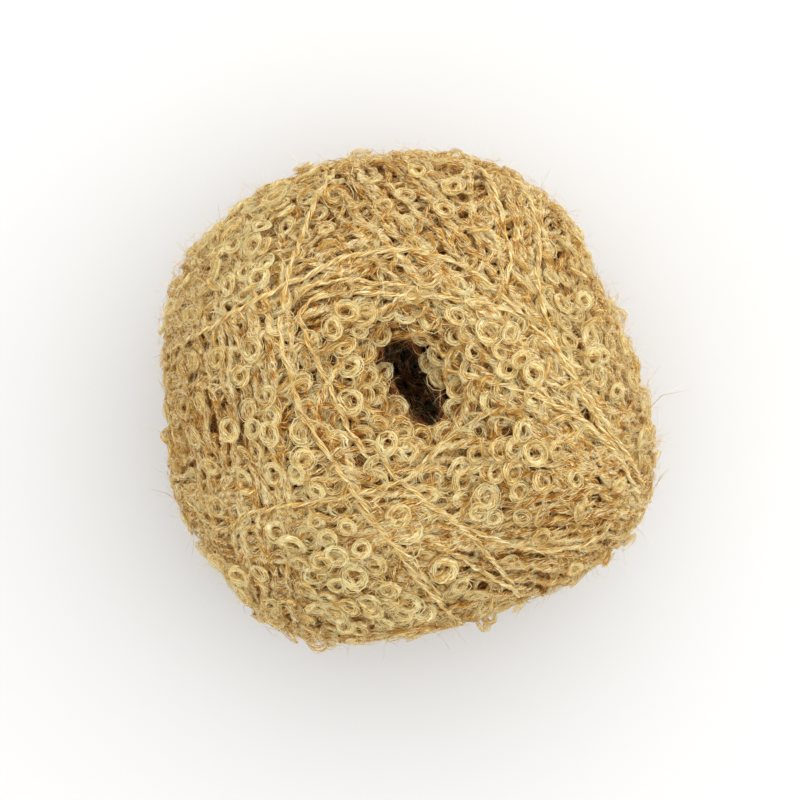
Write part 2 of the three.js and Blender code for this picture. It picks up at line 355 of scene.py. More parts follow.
def lay_on(points, thick, lift, closed=True, proud=0.0):
    """Lays a strand on what is wound already and pulls it taut. Returns its line, and adds it to the stack
    and the run. Between the places where it is held up it stands free by no more than lift."""
    aim = unit(points)
    ahead = ahead_of(points, closed)
    across = unit(np.cross(ahead, aim))
    shares = np.array([-0.5, -0.25, 0, 0.25, 0.5])[:, None, None] * thick
    patches = patch_of(unit(points + across * shares))
    grown = stack[patches].max(0)
    packed = PACKED_HIGH * np.tanh(grown / PACKED_HIGH)
    floor = form_reach(aim) - OUTER_WINDING + packed + thick * 0.5 + proud
    reach = floor.copy()
    for _ in range(120):
        at = aim * reach[:, None]
        before, after = np.roll(at, 1, 0), np.roll(at, -1, 0)
        middle = ((before + after) / 2 * aim).sum(1)
        if not closed:
            middle[[0, -1]] = reach[[0, -1]]
        reach = np.maximum(reach, np.minimum(middle, floor + lift))
    top = reach - form_reach(aim) + OUTER_WINDING + thick * 0.4
    if proud:
        under = patch_of(unit(points + across * np.linspace(-1.5, 1.5, 7)[:, None, None]))
        np.minimum.at(lid, under, np.broadcast_to(top - thick, under.shape))
    else:
        np.maximum.at(stack, patches, np.broadcast_to(top, patches.shape))
        run[patches] = unit(ahead)
    return aim * reach[:, None]


FIBRE_TWIST = 0.22  # how far the fibres of a strand go round it for each millimetre along it


class Strands:
    """Gathers the tubes of one piece: points, faces, places along and round for the fibre, and shades."""

    def __init__(self):
        self.points, self.quads, self.ends, self.uvs, self.shades, self.widths = [], [], [], [], [], []
        self.count = 0

    def add(self, rings, shade, closed, along=1.0, around=0.2, width=1.0, deeper=0.0):
        """rings is tubes x stations x sides x 3, in millimetres from the ball's centre. along and around
        are the millimetres from one station and one side to the next. width is that of the fibres of an
        open weave, and 1 for a solid one. Undersides get painted shade: the last argument paints them
        darker."""
        tubes, stations, sides, _ = rings.shape
        count = tubes * stations * sides
        number = self.count + np.arange(count).reshape(tubes, stations, sides)
        last = stations if closed else stations - 1
        s, k = np.arange(last), np.arange(sides)
        after, beside = (s + 1) % stations, (k + 1) % sides
        quad = np.stack([
            number[:, s][:, :, k], number[:, s][:, :, beside],
            number[:, after][:, :, beside], number[:, after][:, :, k]], -1)
        self.quads.append(quad.reshape(-1, 4))
        shift = rng.uniform(0, 400, (tubes, 1, 1, 1))
        u = (s[None, :, None, None] + np.array([0, 0, 1, 1])) * along + shift + np.zeros((1, 1, sides, 1))
        v = (k[None, None, :, None] + np.array([0, 1, 1, 0])) * around + FIBRE_TWIST * (u - shift)
        self.uvs.append(np.stack([u, v], -1).reshape(-1, 2))
        if not closed:
            self.ends += [number[:, 0, ::-1], number[:, -1]]
        self.points.append(rings.reshape(-1, 3))
        # painted shade: darkest on the underside of each tube, none on top
        shade_painted_under = deeper * (1 - np.cos(math.tau * (k + 0.5) / sides))
        shades = np.asarray(shade, float).reshape(tubes, -1, 1) - shade_painted_under + np.zeros((1, stations, 1))
        self.shades.append(shades.ravel())
        self.widths.append(np.full(count, width))
        self.count += count

    def tube(self, line, thick, sides, closed, shade, **looks):
        """One tube along a line."""
        self.add(tube_rings(line, thick, sides, closed)[None], shade, closed, **looks)

    def piece(self, name, material):
        """Makes one mesh of all the tubes, as an object of its own on the root body."""
        points = np.concatenate(self.points) - BOX_MIDDLE
        low = points[:, 2] < 1.0  # what lies on the table is pressed flat there
        points[low, 2] = np.exp(points[low, 2] - 1.0)
        quads = np.concatenate(self.quads)
        loops, starts, uvs = [quads.ravel()], [np.arange(len(quads)) * 4], [np.concatenate(self.uvs)]
        begin = quads.size
        for ends in self.ends:
            loops.append(ends.ravel())
            starts.append(begin + np.arange(len(ends)) * ends.shape[1])
            uvs.append(np.tile([0.0, 0.5], (ends.size, 1)))
            begin += ends.size
        mesh = bpy.data.meshes.new(name)
        mesh.vertices.add(len(points))
        mesh.vertices.foreach_set("co", (points * MM).astype(np.float32).ravel())
        loops, starts = np.concatenate(loops), np.concatenate(starts)
        mesh.loops.add(len(loops))
        mesh.loops.foreach_set("vertex_index", loops.astype(np.int32))
        mesh.polygons.add(len(starts))
        mesh.polygons.foreach_set("loop_start", starts.astype(np.int32))
        mesh.update(calc_edges=True)
        mesh.uv_layers.new(name="along and round").data.foreach_set(
            "uv", np.concatenate(uvs).astype(np.float32).ravel())
        for attribute, values in (("shade", self.shades), ("width", self.widths)):
            mesh.attributes.new(attribute, "FLOAT", "POINT").data.foreach_set(
                "value", np.concatenate(values).astype(np.float32))
        mesh.shade_smooth()
        mesh.materials.append(material)
        made = new_object(name, mesh)
        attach(made, "root")


def up_and_beside(line, closed, upward=None):
    """At each point of a line, the directions out from the ball and to its side, both across the line."""
    ahead = unit(ahead_of(line, closed))
    upward = line if upward is None else upward
    up = unit(upward - (upward * ahead).sum(-1, keepdims=True) * ahead)
    return up, np.cross(ahead, up)


def tube_rings(line, thick, sides, closed, upward=None, flat=1.0):
    """Rings of points round a line. thick is its radius at each station, flat its height against its
    width."""
    up, beside = up_and_beside(line, closed, upward)
    angle = math.tau * (np.arange(sides) + 0.5) / sides
    upright, sideways = np.cos(angle)[:, None] * flat, np.sin(angle)[:, None]
    around = up[..., None, :] * upright + beside[..., None, :] * sideways
    return line[..., None, :] + around * np.asarray(thick)[..., None, None]


def around_turn(count, fewest, most):
    """A smooth wave once round a turn, with some number of crests."""
    return np.sin(math.tau * (np.arange(count) / count * rng.integers(fewest, most) + rng.uniform()))


UNDER_TURNS, UNDER_THICK, UNDER_RADIUS = 50, 1.3, 0.8
UNDER_STEP = 2.2  # millimetres between stations
UNDER_FIBRES = 0.11  # how wide its lines of fibre are; at 0.5 they would close up
QUARTER_ROUND = 1.57  # times the radius, from one side of a four-sided tube to the next
GOLDEN_ANGLE = 2.39996
# painted shade: the first turns are the same yarn, painted darker for the shade they lie in under the outer
# turns
painted_shade_deep_wool = wool_material(
    "deep strand", deep=(0.34, 0.11, 0.015), middle=(0.80, 0.47, 0.095), pale=(0.98, 0.85, 0.45),
    rough=0.75, through=0.35, along_scale=(0.45, 3.5, 1.0),
)
under_strands = Strands()
for number in range(UNDER_TURNS):
    spin, tilt = number * GOLDEN_ANGLE + rng.uniform(-0.2, 0.2), math.radians(rng.uniform(12, 62))
    upright = math.sin(tilt) * rng.choice([-1, 1])
    normal = np.array([math.cos(spin) * math.cos(tilt), math.sin(spin) * math.cos(tilt), upright])
    off = rng.uniform(10, 33) * rng.choice([-1, 1])
    line = lay_on(hand_turn(normal, off, UNDER_STEP), UNDER_THICK, lift=1.5)
    on_side = np.clip(1 - line[:, 2] / 25, 0, 1)  # paler there, where these turns show bare; on top their low shade is painted shade
    shade = rng.uniform(0.15, 0.35) + 0.4 * on_side
    count = len(line)
    radius = UNDER_RADIUS * (1 + 0.16 * around_turn(count, 23, 41) + 0.12 * around_turn(count, 60, 80))
    shade = shade + 0.10 * around_turn(count, 5, 13)
    under_strands.tube(line, radius, 4, True, shade, along=UNDER_STEP,
                       around=QUARTER_ROUND * UNDER_RADIUS, width=UNDER_FIBRES)
under_strands.piece("under_turns", painted_shade_deep_wool)


# Inside the hole the turns lean round its wall, one over the other, and others cross it further down, so
# that no light comes through. Each turn is a core with two loose plies of combed mohair twisted round it.
CORE_THICK, PLY_THICK, PLY_AWAY = 0.40, 0.56, 0.34  # radii, and how far out from the core a ply goes
PLY_TURN = 6.0  # millimetres of the turn in which a ply goes once round it
PLY_FIBRES = 0.08
STRAY_THICK, STRAY_AWAY = 0.09, 0.62
PALE_AREAS = ((-29, 24, 15, 0.11), (38, 6, 14, 0.06), (32, -20, 12, -0.07))  # x, y, spread, how much paler


def spots(areas, points):
    """At each point, the sum of round spots that fade outwards."""
    x, y = points.T[:2]
    return sum(strong * np.exp(-(((x - at_x) ** 2 + (y - at_y) ** 2) / spread**2))
               for at_x, at_y, spread, strong in areas)


def paleness(points):
    """How much paler, or darker where negative, the wool on top is made, in a few round patches."""
    return spots(PALE_AREAS, points) * (points[:, 2] > 0)


def wound_round(line, up, beside, wide, high, phase):
    """A line that goes round another, so far out to its sides and so far above and below it."""
    return line + beside * (wide * np.cos(phase))[:, None] + up * (high * np.sin(phase))[:, None]


def loose_turn(strands, line, shade, step):
    """A turn in full: a core, two loose plies of combed fibre twisted round it, and one stray fibre."""
    count = len(line)
    up, beside = up_and_beside(line, True)
    length = np.linalg.norm(np.roll(line, -1, 0) - line, axis=1).sum()
    line = line + beside * 0.3 * (around_turn(count, 26, 34) + around_turn(count, 12, 20))[:, None]
    turn = np.arange(count) / count
    lag, start = around_turn(count, 7, 11), rng.uniform()

    def twisted(away, wave, start):
        phase = math.tau * (round(length / wave) * turn + start) + 0.8 * lag
        return wound_round(line, up, beside, away, 0.8 * away, phase), np.sin(phase)

    height = np.linalg.norm(line, axis=1) - form_reach(unit(line)) + OUTER_WINDING
    patchy_and_painted_shade = shade + 0.08 * (around_turn(count, 5, 13) + around_turn(count, 19, 31))
    # painted shade: a turn is painted darker where it lies lower in the winding and paler where it lies
    # higher
    patchy_and_painted_shade = patchy_and_painted_shade + 0.09 * (height - 2.6) + paleness(line)
    strands.tube(line[::2], CORE_THICK, 3, True, patchy_and_painted_shade[::2] - 0.4, along=2 * step, around=0.7)
    for ply in (0.0, 0.5):
        thick = PLY_THICK * (1 + 0.22 * around_turn(count, 23, 41) + 0.15 * around_turn(count, 55, 75))
        laid, painted_light_where_up = twisted(PLY_AWAY, PLY_TURN, start + ply)
        # painted light and shade: a ply is painted paler where its twist brings it up on top and darker
        # where it goes under, and its underside gets painted shade too; the rest is random tone
        strokes = patchy_and_painted_shade + 0.1 + 0.16 * painted_light_where_up + rng.normal(0, 0.09, count)
        strands.tube(laid, thick, 4, True, strokes, along=step,
                     around=QUARTER_ROUND * PLY_THICK, width=PLY_FIBRES, deeper=0.13)
    stray, _ = twisted(STRAY_AWAY, rng.uniform(5, 9), rng.uniform())
    strands.tube(stray[::2], STRAY_THICK, 3, True, shade + 0.3, along=2 * step)


# painted shade: the wool in the hole is painted far darker than the yarn, for the shade deep in it
shaded_wool = wool_material(
    "shaded wool", deep=(0.13, 0.038, 0.012), middle=(0.34, 0.12, 0.038), pale=(0.62, 0.33, 0.12),
    rough=0.9, through=0.1, along_scale=(0.5, 4.0, 1.0),
)
MOUTH_AT = 30.5  # how high above the ball's centre the hole's upper mouth is
lining = Strands()
for depth in np.arange(1.5, 27, 1.3):
    angle = np.linspace(0, math.tau, 34, endpoint=False)
    lean, to_side = rng.uniform(0.5, 2.2), rng.uniform(0, math.tau)
    wide = rng.uniform(-0.9, 0.0)
    out = [(TOP_MOUTH[0] + wide) * np.cos(angle), (TOP_MOUTH[1] - 1.0 + wide) * np.sin(angle)]
    height = MOUTH_AT - depth + lean * np.sin(angle + to_side)
    line = np.column_stack([HOLE_CENTRE + np.stack(out, 1) @ HOLE_AXES, height])
    # painted shade: each loop is painted darker the deeper it lies in the hole
    loose_turn(lining, line, 0.65 - 0.03 * depth, 1.5)
for depth in np.arange(20, 44, 0.8):
    side = rng.uniform(0, math.tau)
    far = np.array([math.cos(side), math.sin(side), 0]) * 10
    middle = np.array([*HOLE_CENTRE, MOUTH_AT - depth]) + rng.normal(0, 2.0, 3) * [1, 1, 0]
    t = np.linspace(-1, 1, 10)[:, None]
    bow = np.array([-math.sin(side), math.cos(side), 0.5]) * rng.normal(0, 2.5)
    line = middle + far * t + bow * (t**2 - 0.3)
    # the crossing strands are painted dark too: painted shade
    lining.tube(line, 0.75, 4, False, rng.uniform(-0.2, 0.4), along=2, around=0.9)
lining.piece("hole_lining", shaded_wool)


# The swathes: six sets of near turns in slanting planes, each laid over those before it, in two pieces. The
# first turns of each piece pass close by the hole.
SWATHES = (  # comes up at azimuth, over [x, y], goes down at azimuth, turns, shade
    (168, (-14.0, 27.5), 52, 13, 0.50),
    (56, (36.0, 4.0), 322, 13, 0.48),
    (214, (-3.0, -35.0), 318, 13, 0.50),
    (208, (6.0, -19.5), 341, 13, 0.48),
    (136, (-34.0, -4.0), 238, 13, 0.46),
    (102, (16.5, 18.0), 344, 13, 0.48),
)
TURN_PITCH = 1.5  # between the planes of near turns
STEP = 1.45  # millimetres between stations
TURN_THICK = 1.2
NEAR_HOLE_TURNS = 8  # in each piece


def on_top(x, y):
    """The point of the wound form, on its upper side, that lies at x, y."""
    point = np.array([x, y, 30.0])
    for _ in range(25):
        found = on_form(unit(point))
        point = np.array([x, y, found[2]]) if found[2] > 0 else found
    return found


def plane_of(up, over, down):
    """The plane through two places on the outline and one on top: its normal and how far off it is."""
    sides = [math.radians(azimuth) for azimuth in (up, down)]
    rim = [on_form(np.array([math.cos(side), math.sin(side), 0.0])) for side in sides]
    top = on_form(unit(np.array([*over, HEIGHT - WIDEST_AT])))
    normal = unit(np.cross(rim[0] - top, rim[1] - top))
    return normal, float(top @ normal)


golden_fibres = wool_material(
    "golden fibres", deep=(0.44, 0.145, 0.015), middle=(0.91, 0.61, 0.120), pale=(1.0, 0.93, 0.60),
    rough=0.62, through=0.45, along_scale=(0.45, 3.5, 1.0),
)
for part, chosen, ahead in (("swathes_first", SWATHES[:3], 0.0), ("swathes_last", SWATHES[3:], 0.5)):
    swathe_strands = Strands()
    for number in range(NEAR_HOLE_TURNS):
        spin = math.tau * (number + ahead) / NEAR_HOLE_TURNS + rng.uniform(-0.2, 0.2)
        normal = unit(np.array([math.cos(spin), math.sin(spin), rng.uniform(-0.30, 0.30)]))
        beside_hole = on_top(*(HOLE_CENTRE + rng.uniform(8, 19) * normal[:2]))
        line = lay_on(hand_turn(normal, float(beside_hole @ normal), STEP), TURN_THICK, lift=1.2)
        loose_turn(swathe_strands, line, rng.uniform(0.3, 0.5), STEP)
    for up, over, down, turns, shade in chosen:
        normal, off = plane_of(up, over, down)
        for number in rng.permutation(turns):
            shift = (number - (turns - 1) / 2) * TURN_PITCH + rng.uniform(-0.45, 0.45)
            leaned = unit(normal + rng.normal(0, 0.018, 3))
            line = lay_on(hand_turn(leaned, off + shift, STEP, 0.45, (2, 3, 5, 8)), TURN_THICK, lift=1.6)
            loose_turn(swathe_strands, line, shade + rng.uniform(-0.2, 0.2), STEP)
    swathe_strands.piece(part, golden_fibres)


# The main threads: parts of single turns that lie on top of all the rest, where the yarn's core shows
# clean. Two golden plies twist round each other, with hardly any loops.
THREAD_STEP = 0.8  # millimetres between stations


def smooth_line(marks):
    """A smooth line through a few marks, with even steps."""
    marks = np.array([2 * marks[0] - marks[1], *marks, 2 * marks[-1] - marks[-2]])
    pieces = []
    for a, b, c, d in zip(marks, marks[1:], marks[2:], marks[3:]):
        t = np.linspace(0, 1, 40, endpoint=False)[:, None]
        second, third = 2 * a - 5 * b + 4 * c - d, 3 * b - a - 3 * c + d
        pieces.append(0.5 * (2 * b + (c - a) * t + second * t**2 + third * t**3))
    line = np.concatenate([*pieces, marks[-2:-1]])
    far = np.concatenate([[0], np.cumsum(np.linalg.norm(np.diff(line, axis=0), axis=1))])
    even = np.linspace(0, far[-1], int(far[-1] / THREAD_STEP) + 1)
    return np.stack([np.interp(even, far, line[:, axis]) for axis in range(3)], 1)


THREAD_THICK, THREAD_AWAY = 0.28, 0.85  # a ply's radius, and how many times that it lies out
THREAD_FIBRES = 0.15
PLY_TWIST = 8.0  # millimetres in which the plies go once round each other


def plied_thread(strands, line, shade):
    """Two plies twisted together along a line, with two finer fibres that stand off them."""
    count = len(line)
    up, beside = up_and_beside(line, False)
    length = count * THREAD_STEP
    fewest = round(length / 14)
    sway = around_turn(count, fewest, fewest + 3) + around_turn(count, 2 * fewest, 3 * fewest)
    line = line + beside * 0.13 * sway[:, None]
    turn = np.arange(count) / count
    phase = math.tau * round(length / PLY_TWIST) * turn + 0.8 * np.sin(math.tau * 5 * turn)
    away = THREAD_THICK * THREAD_AWAY
    for ply in (0, math.pi):
        laid = wound_round(line, up, beside, away, away, phase + ply)
        swell = np.sin(math.tau * turn * rng.integers(9, 17) + rng.uniform(0, 6))
        strokes = shade + 0.1 + rng.normal(0, 0.10, count)
        strands.tube(laid, THREAD_THICK * (1 + 0.18 * swell), 4, False, strokes,
                     along=THREAD_STEP, around=0.44, width=THREAD_FIBRES)
    for _ in range(2):
        round_it = math.tau * round(length / rng.uniform(5, 9)) * turn + rng.uniform(0, 6)
        loose = wound_round(line, up, beside, 0.55, 0.5, round_it)
        strands.tube(loose, 0.08, 3, False, shade + 0.3, along=THREAD_STEP)


def tucked(line, deep):
    """Both ends of a line sink in between the other turns."""
    count = len(line)
    from_end = np.minimum(np.arange(count), np.arange(count)[::-1]) * THREAD_STEP
    sunk = deep * np.exp(-((from_end / 3.0) ** 2))
    return unit(line) * (np.linalg.norm(line, axis=1) - sunk)[:, None]


thread_wool = wool_material(
    "core thread", deep=(0.60, 0.31, 0.05), middle=(0.83, 0.60, 0.205), pale=(0.95, 0.84, 0.49),
    rough=0.5, through=0.25, relief=0.0002, along_scale=(0.4, 4.4, 1.0),
)
threads = Strands()
PARTS_OF_TURNS = (  # marks on the top, [x, y]; both ends go under other turns
    ((-10.4, 43.6), (-13.9, 38.3), (-16.5, 32.5), (-18.6, 26), (-20.3, 19), (-20.8, 10.8), (-18.8, 2.7),
     (-14.5, -6.6), (-8.4, -15.6), (-2, -24.2), (4.5, -33.3), (9.5, -39), (12.9, -44.9)),
    ((-43, 8), (-38.8, 10.2), (-33.3, 12.9), (-26.1, 17), (-17.2, 21.5), (-10, 24.7), (-2, 26), (3.4, 25.6),
     (11.5, 22.9), (18.3, 17.4), (27.2, 8.6), (32.6, 0.9), (37.8, -6.6), (42.5, -13.4), (45, -19)),
    ((24, 13), (17.7, 15.8), (3.4, 17.9), (-11.8, 18.6), (-17.4, 14.6), (-13.2, 3.9), (-8.8, -5.4),
     (-4, -13)),
    ((-20, 17), (-16.3, 19.7), (-9, 20.8), (0, 19.8), (9, 17)),
    ((-41, -15), (-35, -21.5), (-30.3, -22.7), (-25.6, -19.3), (-10.9, -17), (0, -14), (4.5, -10),
     (9.7, -5), (20, 0)),
    ((5, 7), (12.4, 3.9), (19.5, 2.1), (32.9, -4.5), (42, -16), (44, -24)),
    ((13, 44), (17.7, 33), (19.2, 24.7), (17, 17)),
    ((19, 42), (24.3, 29.5), (24, 20.6), (27.2, 9), (33.8, -2.7), (40, -12)),
    ((0, -14), (6, -18.8), (14, -23.3), (25, -26.5), (34, -25), (40, -20)),
    ((-4, -11), (9.7, -21.5), (17.7, -30), (22, -37)),
    ((-10, -16), (-5.5, -20.6), (2.5, -28.6), (9, -38)),
    ((2, -23), (8.2, -26), (15.9, -31.3), (26, -35)),
)
for marks in PARTS_OF_TURNS:
    line = smooth_line(np.array([on_top(x, y) for x, y in marks]))
    line = tucked(lay_on(line, thick=0.8, lift=2.0, closed=False, proud=0.7), deep=2.2)
    plied_thread(threads, line, rng.uniform(0.4, 0.6))
threads.piece("main_threads", thread_wool)


# The boucle rings. As the yarn is spun, the mohair is fed in too fast and curls up into small open rings
# along it, flat coils of fine pale fibre. They stand thickest round the hole and where swathes end.
RING_AREAS = (  # x, y, spread, how thick
    (-10, 5, 12, 1.0), (8, 12, 13, 1.0), (14, -3, 11, 0.9), (-27, 26, 11, 1.0), (-17, 37, 6, 0.8),
    (31, 4, 8, 0.9), (28, 19, 7, 0.9), (-1, -34, 9, 1.0), (-12, -36, 8, 0.7), (-18, -15, 8, 0.9),
    (15, -14, 8, 0.9), (-29, -30, 5, 0.5), (15, -33, 7, 0.6), (41, -7, 5, 0.6), (-5, -8, 8, 1.0),
    (-25, -2, 7, 0.6), (2, -22, 9, 0.7), (-14, -26, 8, 0.7),
)
CLOSE_RINGS, SPARSE_RINGS = 2.85, 7.2  # millimetres between neighbours
FELT_AT = 42  # the winding's usual distance from the ball's centre


def ring_room(points):
    """How far apart the rings stand at each place. On the sides they come and go."""
    x, y, z = points.T
    aside = 0.14 + 0.38 * np.sin(x * 0.16 + 1) * np.sin(y * 0.14 + z * 0.11)
    thick = np.where(z > 8, np.clip(1.15 * spots(RING_AREAS, points) + 0.1, 0, 1), 0.25 + 0.75 * aside)
    return CLOSE_RINGS + (SPARSE_RINGS - CLOSE_RINGS) * (1 - thick)


def frames(normals):
    """Two directions across each normal, turned at random."""
    spin = rng.uniform(0, math.tau, len(normals))[:, None]
    first = unit(np.cross(normals, unit(rng.normal(size=normals.shape))))
    second = np.cross(normals, first)
    return first * np.cos(spin) + second * np.sin(spin), second * np.cos(spin) - first * np.sin(spin)


def stack_place(aim, above, wide=0.0):
    """Points so far above the winding as it has grown, but under any main thread. Where wide is given, the
    winding is also felt round each point, that far out, at six angles."""
    first, second = frames(aim)
    near = [aim]
    for angle in range(6) if wide else ():
        round_it = first * math.cos(angle) + second * math.sin(angle)
        near.append(unit(aim * FELT_AT + wide * round_it))
    patches = np.stack([patch_of(beside) for beside in near])
    height = 0.75 * stack[patches].max(0) + 0.25 * stack[patches].mean(0) + above
    held = lid[patches].min(0) - 0.25
    reach = form_reach(aim) - OUTER_WINDING + np.minimum(height, held)
    return aim * reach[:, None]


RINGS_CLEAR_OF = (12.2, 5.3)  # half sizes round the hole's upper mouth


def directions(count):
    """Directions all over the ball, but none into the hole or to the table."""
    aim = unit(rng.normal(size=(count, 3)))
    points = on_form(aim)
    clear = (past_hole(*points.T[:2], RINGS_CLEAR_OF) > 1.0) | (points[:, 2] < 0)
    clear &= (past_hole(*points.T[:2], UNDER_MOUTH) > 1.1) | (points[:, 2] > 0)
    return aim[clear & (points[:, 2] > 3.0 - WIDEST_AT)]


def keep_apart(aims, room_of, first=()):
    """The first points, and then each direction's point that has room beside all before it."""
    points = on_form(aims)
    kept = list(first)
    placed = np.full((len(points) + len(kept), 3), 1e3)
    placed[:len(kept)] = kept or 1e3
    for point, apart in zip(points, room_of(points)):
        if (((placed[:len(kept)] - point) ** 2).sum(1) > apart**2).all():
            placed[len(kept)] = point
            kept.append(point)
    return kept


COIL_MIDDLE, COIL_HALF = 0.66, 0.28  # of a ring's radius: the middle of its coil, and half its width
RING_LENGTH = 9.5  # once round, where the fibre is drawn
RING_FIBRES = 0.068


def boucle_rings(strands, centres, normals, outer, loose, stations, shade):
    """Rings: each a flat coil of combed fibre, with loose turns of single fibre over it."""
    count = len(centres)
    u, v = frames(normals)
    angle = np.linspace(0, math.tau, stations, endpoint=False)

    def wave(times, size, turns=1):
        return size * np.sin(times * angle + rng.uniform(0, 6.3, (count, turns, 1)))

    def rings(x, y, z, thick, sides, flat=1.0):
        at, first, second, up = (t[:, None, None, :] for t in (centres, u, v, normals))
        line = at + first * x[..., None] + second * y[..., None] + up * z[..., None]
        made = tube_rings(line, thick, sides, True, np.broadcast_to(up, line.shape), flat)
        return made.reshape(-1, stations, sides, 3)

    squeeze = rng.uniform(0.78, 1.0, (count, 1, 1))
    outer = outer[:, None, None]
    swirl = COIL_MIDDLE * outer * (1 + wave(2, 0.07) + wave(3, 0.05))
    z = wave(1, 0.15) + wave(2, 0.15)
    band = COIL_HALF * outer * (1 + wave(1, 0.2) + wave(3, 0.12))
    coil = rings(swirl * np.cos(angle), swirl * np.sin(angle) * squeeze, z, band, 5, flat=0.55)
    along = RING_LENGTH / stations
    # the coil's underside gets painted shade
    strands.add(coil, shade, closed=True, along=along, around=0.6, width=RING_FIBRES, deeper=0.15)

    share = np.sqrt(rng.uniform(0.16, 1.1, (count, loose, 1)))
    swirl = outer * share * (1 + wave(2, 0.06, loose) + wave(3, 0.05, loose))
    x = swirl * np.cos(angle) + rng.normal(0, 0.14, (count, loose, 1))
    y = swirl * np.sin(angle) * squeeze + rng.normal(0, 0.14, (count, loose, 1))
    z = rng.uniform(0.1, 0.5, (count, loose, 1)) + wave(1, 0.25, loose)
    fibres = rings(x, y, z, rng.uniform(0.05, 0.09, (count, loose, 1)), 3)
    tints = shade[:, None] + rng.uniform(0.0, 0.5, (count, loose))
    strands.add(fibres, tints.reshape(-1), closed=True, along=along)


ring_wool = wool_material(
    "mohair ring", deep=(0.55, 0.28, 0.045), middle=(0.97, 0.77, 0.30), pale=(1.0, 0.94, 0.60),
    rough=0.5, through=0.45, along_scale=(0.30, 4.3, 1.0),
)
LARGE_RINGS = (  # x, y, size: the ones that catch the eye
    (-17.1, 39.8, 3.0), (4.6, 21.7, 3.0), (21.9, 23.3, 2.9), (21.0, 18.0, 2.9), (15.0, 11.7, 3.0),
    (-11.6, -3.2, 3.2), (-5.5, 16.7, 2.7), (-3.9, 11.7, 2.7), (0.7, 15.4, 2.9), (-12.3, 7.1, 2.7),
    (-5.2, 1.1, 2.7), (-5.7, -8.9, 2.6), (7.8, -5.9, 2.8), (10.5, 1.8, 2.6), (22.6, 4.5, 2.7),
    (16.7, -8.5, 2.8), (32.0, -6.8, 2.7), (-22.8, -15.7, 2.7), (-2.1, -32.9, 2.7), (1.1, -25.8, 2.8),
    (-29.5, -5.1, 2.6), (-26.0, 27.0, 2.7), (-3.6, 5.0, 2.4), (-0.7, -1.4, 2.5), (5.3, 6.8, 2.3),
)
EDGE_RINGS = (  # x, y
    (10.3, 46.6), (12.2, 45.2), (9.6, 45.0), (-15.7, -45.8), (-13.6, -45.4), (-17.2, -44.3), (41.2, 15.8),
    (-43.9, -6.8), (15.4, -42.4), (16.8, -41.6),
)
LOW_RINGS = 0.6, (-0.5, 0.3), 5000  # lean, height above the winding, tries
HIGH_RINGS = 0.22, (0.4, 1.4), 22000
SEEN_FROM_ABOVE = 0.3  # the least upward part of a direction that is
low_rings, top_rings, side_rings = Strands(), Strands(), Strands()
for layer, (lean, above, tries) in enumerate((LOW_RINGS, HIGH_RINGS)):
    if layer:
        first, given = [on_top(x, y) for x, y, _ in LARGE_RINGS], len(LARGE_RINGS)
    else:  # the deeper ones fill what gaps there are between the turns
        aims = directions(9000)
        thin = np.where(aims[:, 2] > SEEN_FROM_ABOVE, 0.9, 1.9)
        grown = (stack_place(aims, above=0.0, wide=0.9) * aims).sum(1)
        bare = grown < form_reach(aims) - OUTER_WINDING + thin
        first, given = keep_apart(aims[bare], lambda points: np.where(points[:, 2] > 12, 1.8, 2.2)), 0
    room_of = ring_room if layer else lambda points: 0.8 * ring_room(points) + 0.9
    aims = unit(np.array(keep_apart(directions(tries), room_of, first)))
    on_side = np.clip(1 - aims[:, 2] / 0.5, 0, 1)  # there they lie closer
    centres = stack_place(aims, rng.uniform(*above, len(aims)) - 0.6 * on_side, 1.4)
    leaned = unit(aims + rng.normal(0, lean, aims.shape) * (1 - 0.4 * on_side)[:, None])
    thickly = (SPARSE_RINGS - ring_room(on_form(aims))) / (SPARSE_RINGS - CLOSE_RINGS)
    sizes = rng.normal(2.32, 0.33, len(aims)).clip(1.6, 3.0) * (0.94 + 0.12 * thickly)
    sizes[:given] = [size for _, _, size in LARGE_RINGS[:given]]
    leaned[:given] = unit(aims[:given] + rng.normal(0, 0.15, (given, 3)))
    # painted shade: the lower layer of rings is painted darker and the upper one paler
    shades = rng.uniform(0.15, 0.5, len(aims)) + 0.34 * layer + 0.12 * (thickly - 0.5) + paleness(centres)
    seen = aims[:, 2] > SEEN_FROM_ABOVE
    for strands, there, loose, stations in (
            (top_rings if layer else low_rings, seen, 1 + 2 * layer, 11), (side_rings, ~seen, 1, 10)):
        boucle_rings(strands, centres[there], leaned[there], sizes[there], loose, stations, shades[there])
out = np.array([[x, y, rng.uniform(-2, 4)] for x, y in EDGE_RINGS])
leaned = unit(rng.normal(0, 0.35, out.shape) + [0, 0, 1])
boucle_rings(top_rings, out, leaned, rng.uniform(1.6, 2.3, len(out)), 3, 11, np.full(len(out), 0.5))
low_rings.piece("low_rings", ring_wool)
top_rings.piece("top_rings", ring_wool)
side_rings.piece("side_rings", ring_wool)


# The hairs. Mohair is long and slippery, and its finest fibres work loose all over the ball. They curl and
# lie on the turns in a thin haze, and stand a few millimetres out from them.
def hairs(strands, roots, leaning, lengths, curl, thick, shade, stations):
    """Fine curved hairs, each from its root, tapering to a tip."""
    count = len(roots)
    t = np.linspace(0, 1, stations)[None, :, None]
    bend, twist = frames(leaning)
    swing = rng.normal(0, curl, (count, 1, 1))
    wave = rng.normal(0, curl * 0.35, (count, 1, 1))
    line = roots[:, None] + lengths[:, None, None] * (
        leaning[:, None] * t + bend[:, None] * swing * t**2 + twist[:, None] * wave * np.sin(t * 5))
    shape = np.interp(np.linspace(0, 1, stations), [0, 0.33, 0.67, 1], [0.7, 1.0, 0.9, 0.15])
    strands.add(tube_rings(line, thick[:, None] * shape, 3, False), shade, closed=False)


